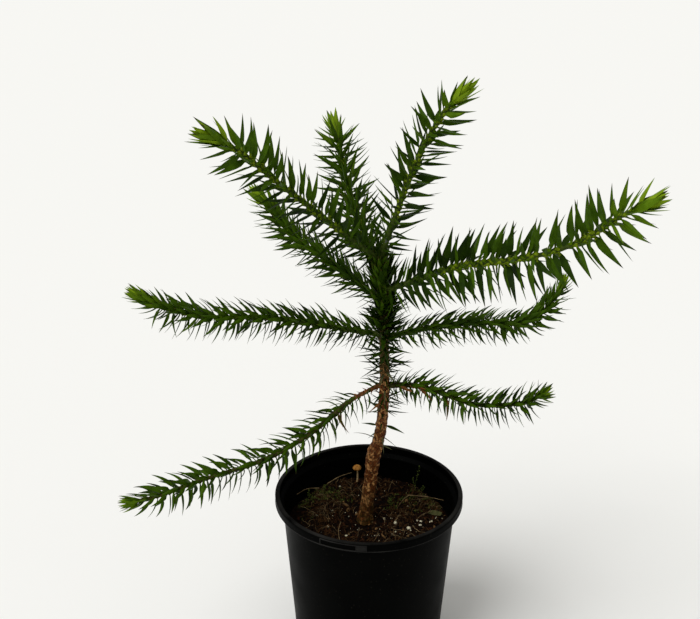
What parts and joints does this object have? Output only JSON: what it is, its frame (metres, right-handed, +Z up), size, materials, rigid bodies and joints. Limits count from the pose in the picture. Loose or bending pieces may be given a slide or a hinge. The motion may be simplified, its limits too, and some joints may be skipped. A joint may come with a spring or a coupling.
{
  "type": "potted monkey puzzle tree",
  "caption": "Young conifer with a slender leaning trunk and tiers of curving shoots set with stiff pointed leaves, growing in a tapered black nursery pot with a rolled rim.",
  "frame": {"origin": "centre of the pot's flat underside", "axes": "+Z up along the pot's axis towards the tree's top, +X to the right along the broad side of the tree, +Y towards its back"},
  "size_m": [0.4997, 0.2858, 0.6329],
  "materials": {
    "pot": "satin black moulded plastic",
    "mix": "damp composted bark potting mix",
    "bark": "reddish-brown flaking bark with leaf scars",
    "limb": "green-brown young shoot, knobbed by leaf bases",
    "foliage": "waxy dark green leaves, light green at the tips"
  },
  "bodies": {
    "root": {"limb_crown_back": "limb", "limb_crown_leader": "limb", "limb_crown_left": "limb", "limb_lower_left": "limb", "limb_lower_right": "limb", "limb_middle_left": "limb", "limb_middle_right": "limb", "limb_upper_left": "limb", "limb_upper_right": "limb", "pot": "pot", "potting_mix": "mix", "shoot_crown_back": "foliage", "shoot_crown_leader": "foliage", "shoot_crown_left": "foliage", "shoot_lower_left": "foliage", "shoot_lower_right": "foliage", "shoot_middle_left": "foliage", "shoot_middle_right": "foliage", "shoot_upper_left": "foliage", "shoot_upper_right": "foliage", "trunk": "bark", "trunk_leaves_foot": "foliage", "trunk_leaves_lower": "foliage", "trunk_leaves_middle": "foliage", "trunk_leaves_upper": "foliage"}
  },
  "joints": []
}
